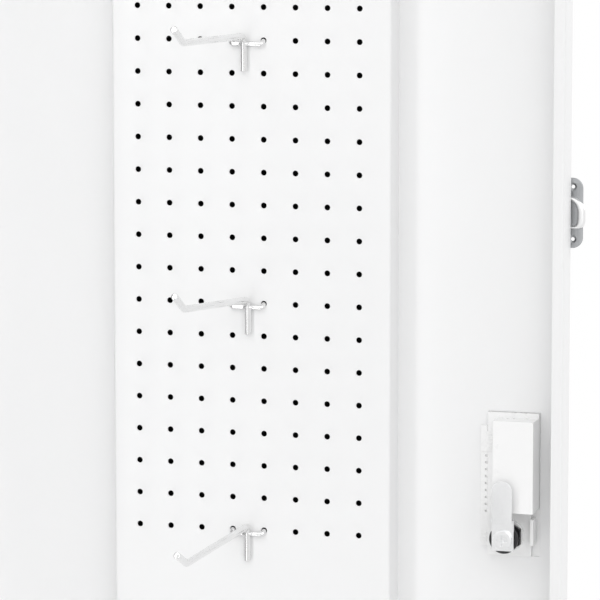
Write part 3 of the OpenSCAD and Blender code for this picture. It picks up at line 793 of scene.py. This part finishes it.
def build_hook(name, row, lift, lean, weld):
    """A welded wire hook: one bar bent from the leg into the prong and its raised tip, and a
    thinner bar whose ends rise a little and turn into two holes of the panel, joined by a weld."""
    face = PANEL_N[1]
    level = GRID_Z + PITCH * (row - (ROWS - 1) / 2)
    clear = 0.2 * MM
    leg_n = face + ROD_R + clear
    rise, aside = REACH * math.tan(math.radians(lift)), REACH * math.tan(math.radians(lean))
    middle = GRID_S + weld * MM
    corners = door(
        np.array([leg_n, leg_n, face + REACH, face + REACH + TIP]),
        middle + np.array([0, 0, aside, aside * TIP_DRIFT]),
        level + np.array([-LEG, LEG_TOP, LEG_TOP + rise, LEG_TOP + rise * TIP_DRIFT + TIP_RISE]),
    )
    parts = rod(corners, ROD_R, [6 * MM, 7 * MM], (0, 1, 0), dome=0.25)
    drop = HOLE_R - PIN_R - 0.1 * MM
    bar_n, half, behind = face + PIN_R + 0.5 * MM, PITCH / 2, 6 * MM
    out = np.array([face - behind, face - behind, face + clear, bar_n])
    sink = np.array([behind, -drop, -drop, -drop - SAG])
    corners = door(
        np.concatenate([out, out[::-1]]),
        GRID_S + half * np.repeat([-1, 1], 4),
        level + np.concatenate([sink, sink[::-1]]),
    )
    bends = np.array([2.2, 1.0, 1.8, 1.8, 1.0, 2.2]) * MM
    parts += rod(corners, PIN_R, bends, (1.0, 0.7, 1.0), dome=0.6, sides=16)
    turn = np.linspace(0, np.pi, 9)
    bead_half, bead_r, tiny = 4.6 * MM, 2.0 * MM, 0.02 * MM
    bead = np.stack([-bead_half * np.cos(turn), bead_r * np.sin(turn) + tiny], 1)
    parts += revolve(bead, door(bar_n + 0.9 * MM, middle, level - drop - SAG).ravel(), (0, 1, 0), 20)
    piece(name + "_wire_hook", parts, [CHROME_HOOK], "door", [name + "_hook"],
          angle=math.radians(50))


def mm(*pairs):
    """Pairs of millimetres as pairs of metres."""
    return [(low * MM, high * MM) for low, high in pairs]


def build_lock_housing():
    """The moulded housing: a bezel outside, a block through the skin with a narrower foot, a box
    that holds the finger cup, and a raised seat round the barrel."""
    n0, s0, z0 = HOUSING_N[0] / MM, HOUSING_S[0] / MM, HOUSING_Z[0] / MM
    n1, s1, z1 = HOUSING_N[1] / MM, HOUSING_S[1] / MM, HOUSING_Z[1] / MM
    rim, wall, step, foot = RIM / MM, 1.8, 6.8, 5.3
    box_wide, box_high, ledge = 31.5, 71.0, 3.4
    box_s = s1 - rim - box_wide, s1 - rim
    box_z = z1 - rim - ledge - box_high, z1 - rim - ledge
    barrel_s, barrel_z, core = BARREL[0] / MM, BARREL[1] / MM, 6.4
    boxes = [
        mm((n0, n0 + wall), (s0, s1), (z0, z1)),
        mm((n0, n0 + step), (s0 + rim, s1 - rim - foot), (z0 + rim, z1 - rim)),
        mm((n0, n0 + step), (s0 + rim, s1 - rim), (box_z[0], z1 - rim)),
        mm((n0, n1), box_s, box_z),
    ]
    cuts = [
        mm((n0, n1 - wall), (box_s[0] + wall, box_s[1] - wall), (box_z[0] + wall, box_z[1] - wall)),
        mm((n0, n0 + step), (barrel_s - core, barrel_s + core), (barrel_z - core, barrel_z + core)),
    ]
    piece("moulded_housing", [solid(boxes, cuts)], [PLASTIC_WHITE], "door",
          ["lock_housing"], edge=0.6 * MM)
    inner, outer, high, ease = 9.6, 12.5, 3.0, 0.4
    ring = [(0, inner), (high - ease, inner), (high, inner + ease),
            (high, outer - 0.5), (high - ease, outer), (0, outer)]
    origin = door(HOUSING_N[0] + step * MM, *BARREL).ravel()
    seat = revolve(np.array(ring) * MM, origin, (-1, 0, 0), 48, True)
    piece("barrel_seat", seat, [PLASTIC_WHITE], "door", ["lock_housing"])


def build_clips():
    """Two sprung clips: a strip with a raised head, a ribbed pad, shallow notches and three small
    ribs beside the barrel, and a short tab on the block's other side."""
    n0, s0, z0, z1 = CLIP_N / MM, CLIP_S[0] / MM, CLIP_Z[0] / MM, CLIP_Z[1] / MM
    strip, strip_high, head, head_high, tab = 5.2, 3.0, 20.0, 4.0, 2.5
    s1, neck = s0 + strip, z1 - head
    tab_s, barrel_z = CLIP_S[1] / MM - tab, BARREL[1] / MM
    pad_s, pad_high, half = (s1 - 1.0, s1 + 7.6), 4.7, 0.6
    boxes = [
        mm((n0, n0 + head_high), (s0, s1), (neck, z1)),
        mm((n0, n0 + strip_high), (s0, s1), (z0, neck)),
        mm((n0, n0 + pad_high), pad_s, (neck, z1 - 4)),
        mm((n0, n0 + 11.0), (tab_s, tab_s + tab), (barrel_z - 6, barrel_z + 14)),
    ]
    for z in z1 - 6.2 - 3.5 * np.arange(4):
        boxes.append(mm((n0, n0 + pad_high + 0.7), (s1 + 0.6, s1 + 7.0), (z - half, z + half)))
    for z in barrel_z - 5.6 + 3.1 * np.arange(3):
        boxes.append(mm((n0, n0 + strip_high + 0.9), (s0 + 0.5, s1 - 0.3), (z - half, z + half)))
    cuts = []
    for z in neck - 3.5 - 5.4 * np.arange(9):
        cuts.append(mm((n0 + 1.6, n0 + strip_high), (s1 - 2.0, s1), (z - 0.8, z + 0.8)))
    piece("sprung_clips", [solid(boxes, cuts)], [PLASTIC_WHITE], "door",
          ["lock_clips"], edge=0.25 * MM)


def build_barrel():
    """The black barrel: a collar outside, a plain body and a flange under the cam, bored through."""
    plug = door_span("lock_plug")[1]
    bore = (plug[1] - plug[0]) / 2 / MM + 0.1
    end = (BARREL_BOX[0][1] - BARREL_BOX[0][0]) / MM
    body, flange, flange_high, collar, collar_high = 9.5, 11.3, 2.2, 11.5, 2.0
    profile = [
        (0.3, bore), (end, bore),
        (end, flange - 0.4), (end - 0.4, flange), (end - flange_high, flange), (end - flange_high, body),
        (collar_high, body), (collar_high, collar), (0.5, collar), (0, collar - 0.5), (0, bore + 0.3),
    ]
    origin = door(BARREL_BOX[0][0], *BARREL).ravel()
    turned = revolve(np.array(profile) * MM, origin, (-1, 0, 0), 48, True)
    piece("barrel_turned", turned, [BARREL_BLACK], "door", ["lock_barrel"])


def build_lock():
    """The lock's pieces: moulded housing and clips, barrel, nut, plug, cam, screw and key."""
    build_lock_housing()
    build_clips()
    build_barrel()
    eased("barrel_nut", BARREL_BLACK, 0.4 * MM)
    eased("lock_plug", CHROME, 0.3 * MM)
    eased("lock_cam", CHROME, 0.7 * MM, 4)
    eased("cam_screw", CHROME, 0.4 * MM)
    eased("key", CHROME, 0.35 * MM)


def arch(left, right, up, down, sides=64):
    """A closed loop: half an ellipse above, of unequal half-widths, and a squarer half below."""
    turn = np.linspace(0, 2 * np.pi, sides, endpoint=False)
    power = np.where(np.sin(turn) < 0, 0.4, 1.0)
    across = np.sign(np.cos(turn)) * np.abs(np.cos(turn)) ** power
    along = np.sign(np.sin(turn)) * np.abs(np.sin(turn)) ** power
    across *= np.where(across < 0, left, right)
    along *= np.where(along < 0, down, up)
    return np.stack([across, along], 1) * MM


def build_stop_plate():
    """The plate past the free edge, its spacer and rivets, and a domed ring, wide at its right."""
    eased("stop_plate", ZINC, 0.25 * MM)
    eased("plate_spacer", ZINC, 0.25 * MM, 2)
    eased("plate_rivets", ZINC, 0.3 * MM)
    n, s = door_span("keeper_ring")[:2]
    wide = 13.0
    outer, inner = arch(6.5, wide, 12.7, 12.0), arch(3.6, 7.2, 10.0, 10.0)
    phi = np.linspace(0, np.pi, 11)[:, None]
    share = 0.5 + 0.5 * np.cos(phi)[..., None]
    loops = outer * share + inner * (1 - share)
    height = n[0] + (n[1] - n[0]) * np.sin(phi) ** 0.6
    centre = s[1] - wide * MM, sum(span("stop_plate")[2]) / 2
    band = door(height, centre[0] + loops[..., 0], centre[1] + loops[..., 1])
    piece("domed_ring", [grid(band, True, True)], [BRIGHT_RING], "door", ["keeper_ring"])


build_door_pan()
build_perforated_panel()
for hook_name, hang in HOOKS.items():
    build_hook(hook_name, *hang)
build_lock()
build_stop_plate()

# ---- floor, light and camera ----------------------------------------------------------


def build_floor():
    """A flat ring-by-spoke disc, pale and matt, half a millimetre under the cabinet."""
    pale, spokes = (0.86, 0.86, 0.86), 64
    made, shader, add, link = material("floor_pale", pale, 0.8)
    where = add("ShaderNodeTexCoord").outputs["Object"]
    tone = use_group(add, link, CLOUD, where, Color=(*pale, 1.0), Scale=1.2, Drift=0.01)
    link(tone.outputs["Color"], shader.inputs["Base Color"])
    radius = np.linspace(0.01, 2.5, 12)[:, None]
    turn = np.linspace(0, 2 * np.pi, spokes, endpoint=False)[None, :]
    points = at(radius * np.cos(turn), radius * np.sin(turn), -0.5 * MM)
    mesh = bpy.data.meshes.new("floor")
    coords, quads = grid(points, wrap_v=True)
    mesh.from_pydata(coords, [], quads.tolist() + [list(range(spokes - 1, -1, -1))])
    mesh.materials.append(made)
    floor = bpy.data.objects.new("floor", mesh)
    bpy.context.scene.collection.objects.link(floor)


def build_world():
    """White all round for the eye. Light and reflections meet a slightly greyer room, with a soft
    dark flag low down on the side of the cabinet."""
    world = bpy.data.worlds.new("studio")
    bpy.context.scene.world = world
    world.use_nodes = True
    add, link = world.node_tree.nodes.new, world.node_tree.links.new
    background = world.node_tree.nodes["Background"]
    split = add("ShaderNodeSeparateXYZ")
    link(add("ShaderNodeTexCoord").outputs["Generated"], split.inputs["Vector"])
    flag = remap(add, link, split.outputs["Y"], 0.62, 0.82, 0.85, 0.06)
    overhead = remap(add, link, split.outputs["Z"], 0.35, 0.6, 0.0, 0.85)
    room = math_node(add, link, "MAXIMUM", flag, overhead)
    seen = math_node(add, link, "MAXIMUM", room, add("ShaderNodeLightPath").outputs["Is Camera Ray"])
    link(seen, background.inputs["Color"])
    background.inputs["Strength"].default_value = 1.0


def area_light(name, place, target, size, power):
    """A soft light of a width and height at a place, facing a target, itself out of sight."""
    data = bpy.data.lights.new(name, "AREA")
    data.shape = "RECTANGLE"
    data.size, data.size_y = size
    data.energy = power
    light = bpy.data.objects.new(name, data)
    light.location = place
    light.rotation_euler = (Vector(target) - Vector(place)).to_track_quat("-Z", "Y").to_euler()
    light.visible_camera = False
    bpy.context.scene.collection.objects.link(light)


def sun(name, toward, power, spread):
    """A far, wide light from a direction."""
    data = bpy.data.lights.new(name, "SUN")
    data.energy, data.angle = power, math.radians(spread)
    light = bpy.data.objects.new(name, data)
    light.rotation_euler = Vector(toward).to_track_quat("Z", "Y").to_euler()
    bpy.context.scene.collection.objects.link(light)


def build_camera():
    """A long lens at the height of the upper hooks, square on to none of the door's edges."""
    data = bpy.data.cameras.new("camera")
    data.sensor_width, data.lens = 36.0, 225.86
    data.clip_end = 100.0
    camera = bpy.data.objects.new("camera", data)
    camera.location = (-2.5390, -1.3592, 1.2194)
    look = Vector((0.95205, 0.27678, -0.13035))
    camera.rotation_euler = look.to_track_quat("-Z", "Y").to_euler()
    bpy.context.scene.collection.objects.link(camera)
    bpy.context.scene.camera = camera


build_floor()
build_world()
middle_of_door = (HINGE[0], sum(span("door_pan")[1]) / 2, 0.9)
area_light("high_soft", (-1.2, -0.2, 2.5), middle_of_door, (1.0, 1.0), 3.0)
area_light("fill_soft", (1.8, -2.2, 2.2), (0.0, 0.0, 0.7), (1.6, 1.6), 16.0)
beside_hinge = (HINGE[0], -0.29, 0.85)
area_light("hinge_soft", (-0.25, *beside_hinge[1:]), beside_hinge, (0.15, 1.8), 1.55)
sun("front_soft", (-0.85, -0.35, 0.35), 0.42, 50.0)
build_camera()
bpy.context.scene.view_settings.view_transform = "Standard"
